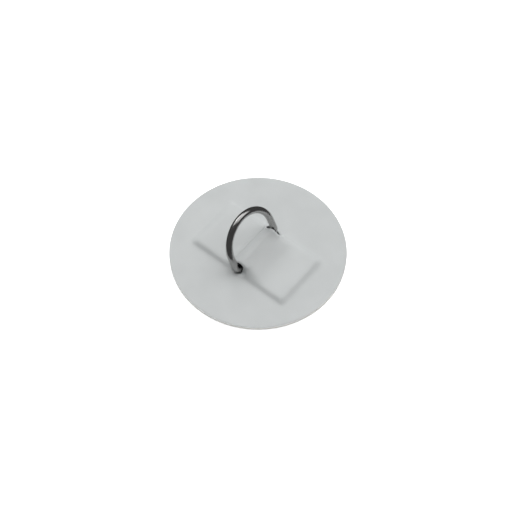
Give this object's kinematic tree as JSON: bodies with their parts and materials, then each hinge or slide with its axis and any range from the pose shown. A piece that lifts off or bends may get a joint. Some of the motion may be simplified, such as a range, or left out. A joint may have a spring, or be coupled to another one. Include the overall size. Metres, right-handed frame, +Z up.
{
  "type": "glue-on d-ring patch",
  "caption": "Round glue-on patch of coated fabric with a D-ring that swings on a covered strap: a lashing, towing or lifting point for an inflatable boat.",
  "frame": {"origin": "centre of the round glue face, on the underside of the base disc", "axes": "+Z up out of the patch, +Y along the bar of the D-ring, +X along the strap; the slit in the cover and the ring's lean are on the -X side"},
  "size_m": [0.1, 0.1, 0.0288],
  "materials": {
    "coated_fabric": "satin",
    "coated_webbing": "matte",
    "stainless_wire": "polished",
    "adhesive": "satin"
  },
  "bodies": {
    "patch": {"base_disc": "coated_fabric", "cover_disc": "coated_fabric", "anchor_strap": "coated_webbing", "rim_adhesive_film": "adhesive", "front_tail_film_under": "adhesive", "rear_tail_film_under": "adhesive", "front_tail_film_over": "adhesive", "rear_tail_film_over": "adhesive"},
    "ring": {"d_ring": "stainless_wire"}
  },
  "joints": [
    {"name": "ring_swing", "type": "hinge", "parent": "patch", "child": "ring", "pos_m": [0, 0, 0.00305], "axis": [0, 1, 0], "range_deg": [-42, 68]}
  ]
}
